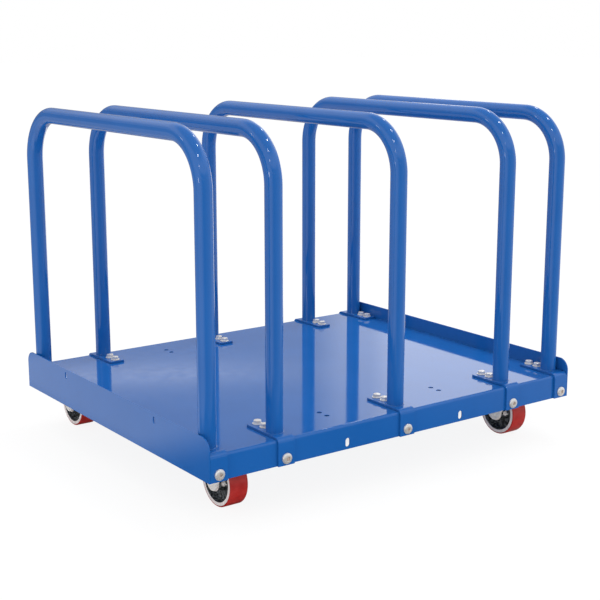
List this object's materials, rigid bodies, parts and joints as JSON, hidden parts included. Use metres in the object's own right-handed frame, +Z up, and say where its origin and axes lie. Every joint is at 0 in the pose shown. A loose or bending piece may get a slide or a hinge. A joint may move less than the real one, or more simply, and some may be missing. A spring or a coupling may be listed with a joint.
{
  "type": "panel cart",
  "caption": "Steel platform cart on swivel casters with upright round-tube hoops bolted across the deck, which hold panels, doors and sheets on edge.",
  "frame": {"origin": "on the floor under the middle of the deck", "axes": "+X along the deck from the left end plate to the right one, +Y from front to back, the way the hoops span, +Z up"},
  "size_m": [0.9584, 0.8092, 0.746],
  "materials": {
    "blue_powder_coat": "glossy blue powder coat",
    "zinc_plated_steel": "bright zinc plate",
    "bearing_steel": "ground steel",
    "dark_cast_iron": "dark grey cast iron, faces turned bright",
    "red_polyurethane": "satin red polyurethane"
  },
  "bodies": {
    "frame": {"deck_platform": "blue_powder_coat", "left_end_plate": "blue_powder_coat", "right_end_plate": "blue_powder_coat", "hoop_1": "blue_powder_coat", "hoop_1_front_bracket": "blue_powder_coat", "hoop_1_front_bolt": "zinc_plated_steel", "hoop_1_back_bracket": "blue_powder_coat", "hoop_1_back_bolt": "zinc_plated_steel", "hoop_2": "blue_powder_coat", "hoop_2_front_bracket": "blue_powder_coat", "hoop_2_front_bolt": "zinc_plated_steel", "hoop_2_back_bracket": "blue_powder_coat", "hoop_2_back_bolt": "zinc_plated_steel", "hoop_3": "blue_powder_coat", "hoop_3_front_bracket": "blue_powder_coat", "hoop_3_front_bolt": "zinc_plated_steel", "hoop_3_back_bracket": "blue_powder_coat", "hoop_3_back_bolt": "zinc_plated_steel", "hoop_4": "blue_powder_coat", "hoop_4_front_bracket": "blue_powder_coat", "hoop_4_front_bolt": "zinc_plated_steel", "hoop_4_back_bracket": "blue_powder_coat", "hoop_4_back_bolt": "zinc_plated_steel", "hoop_5": "blue_powder_coat", "hoop_5_front_bracket": "blue_powder_coat", "hoop_5_front_bolt": "zinc_plated_steel", "hoop_5_back_bracket": "blue_powder_coat", "hoop_5_back_bolt": "zinc_plated_steel", "front_left_caster_plate": "zinc_plated_steel", "front_left_kingpin": "zinc_plated_steel", "front_right_caster_plate": "zinc_plated_steel", "front_right_kingpin": "zinc_plated_steel", "back_left_caster_plate": "zinc_plated_steel", "back_left_kingpin": "zinc_plated_steel", "back_right_caster_plate": "zinc_plated_steel", "back_right_kingpin": "zinc_plated_steel"},
    "front_left_swivel": {"front_left_fork": "zinc_plated_steel", "front_left_axle_bolt": "zinc_plated_steel", "front_left_axle_nut": "zinc_plated_steel", "front_left_axle_sleeve": "bearing_steel"},
    "front_left_wheel": {"front_left_wheel_core": "dark_cast_iron", "front_left_wheel_tread": "red_polyurethane"},
    "front_right_swivel": {"front_right_fork": "zinc_plated_steel", "front_right_axle_bolt": "zinc_plated_steel", "front_right_axle_nut": "zinc_plated_steel", "front_right_axle_sleeve": "bearing_steel"},
    "front_right_wheel": {"front_right_wheel_core": "dark_cast_iron", "front_right_wheel_tread": "red_polyurethane"},
    "back_left_swivel": {"back_left_fork": "zinc_plated_steel", "back_left_axle_bolt": "zinc_plated_steel", "back_left_axle_nut": "zinc_plated_steel", "back_left_axle_sleeve": "bearing_steel"},
    "back_left_wheel": {"back_left_wheel_core": "dark_cast_iron", "back_left_wheel_tread": "red_polyurethane"},
    "back_right_swivel": {"back_right_fork": "zinc_plated_steel", "back_right_axle_bolt": "zinc_plated_steel", "back_right_axle_nut": "zinc_plated_steel", "back_right_axle_sleeve": "bearing_steel"},
    "back_right_wheel": {"back_right_wheel_core": "dark_cast_iron", "back_right_wheel_tread": "red_polyurethane"}
  },
  "joints": [
    {"name": "front_left_swivel_turn", "type": "hinge", "parent": "frame", "child": "front_left_swivel", "pos_m": [-0.381, -0.3159, 0.12], "axis": [0, 0, 1], "continuous": true},
    {"name": "front_left_wheel_roll", "type": "hinge", "parent": "front_left_swivel", "child": "front_left_wheel", "pos_m": [-0.381, -0.2964, 0.0525], "axis": [1, 0, 0], "continuous": true},
    {"name": "front_right_swivel_turn", "type": "hinge", "parent": "frame", "child": "front_right_swivel", "pos_m": [0.381, -0.3159, 0.12], "axis": [0, 0, 1], "continuous": true},
    {"name": "front_right_wheel_roll", "type": "hinge", "parent": "front_right_swivel", "child": "front_right_wheel", "pos_m": [0.381, -0.2964, 0.0525], "axis": [1, 0, 0], "continuous": true},
    {"name": "back_left_swivel_turn", "type": "hinge", "parent": "frame", "child": "back_left_swivel", "pos_m": [-0.381, 0.3159, 0.12], "axis": [0, 0, 1], "continuous": true},
    {"name": "back_left_wheel_roll", "type": "hinge", "parent": "back_left_swivel", "child": "back_left_wheel", "pos_m": [-0.381, 0.3354, 0.0525], "axis": [1, 0, 0], "continuous": true},
    {"name": "back_right_swivel_turn", "type": "hinge", "parent": "frame", "child": "back_right_swivel", "pos_m": [0.381, 0.3159, 0.12], "axis": [0, 0, 1], "continuous": true},
    {"name": "back_right_wheel_roll", "type": "hinge", "parent": "back_right_swivel", "child": "back_right_wheel", "pos_m": [0.381, 0.3354, 0.0525], "axis": [1, 0, 0], "continuous": true}
  ]
}
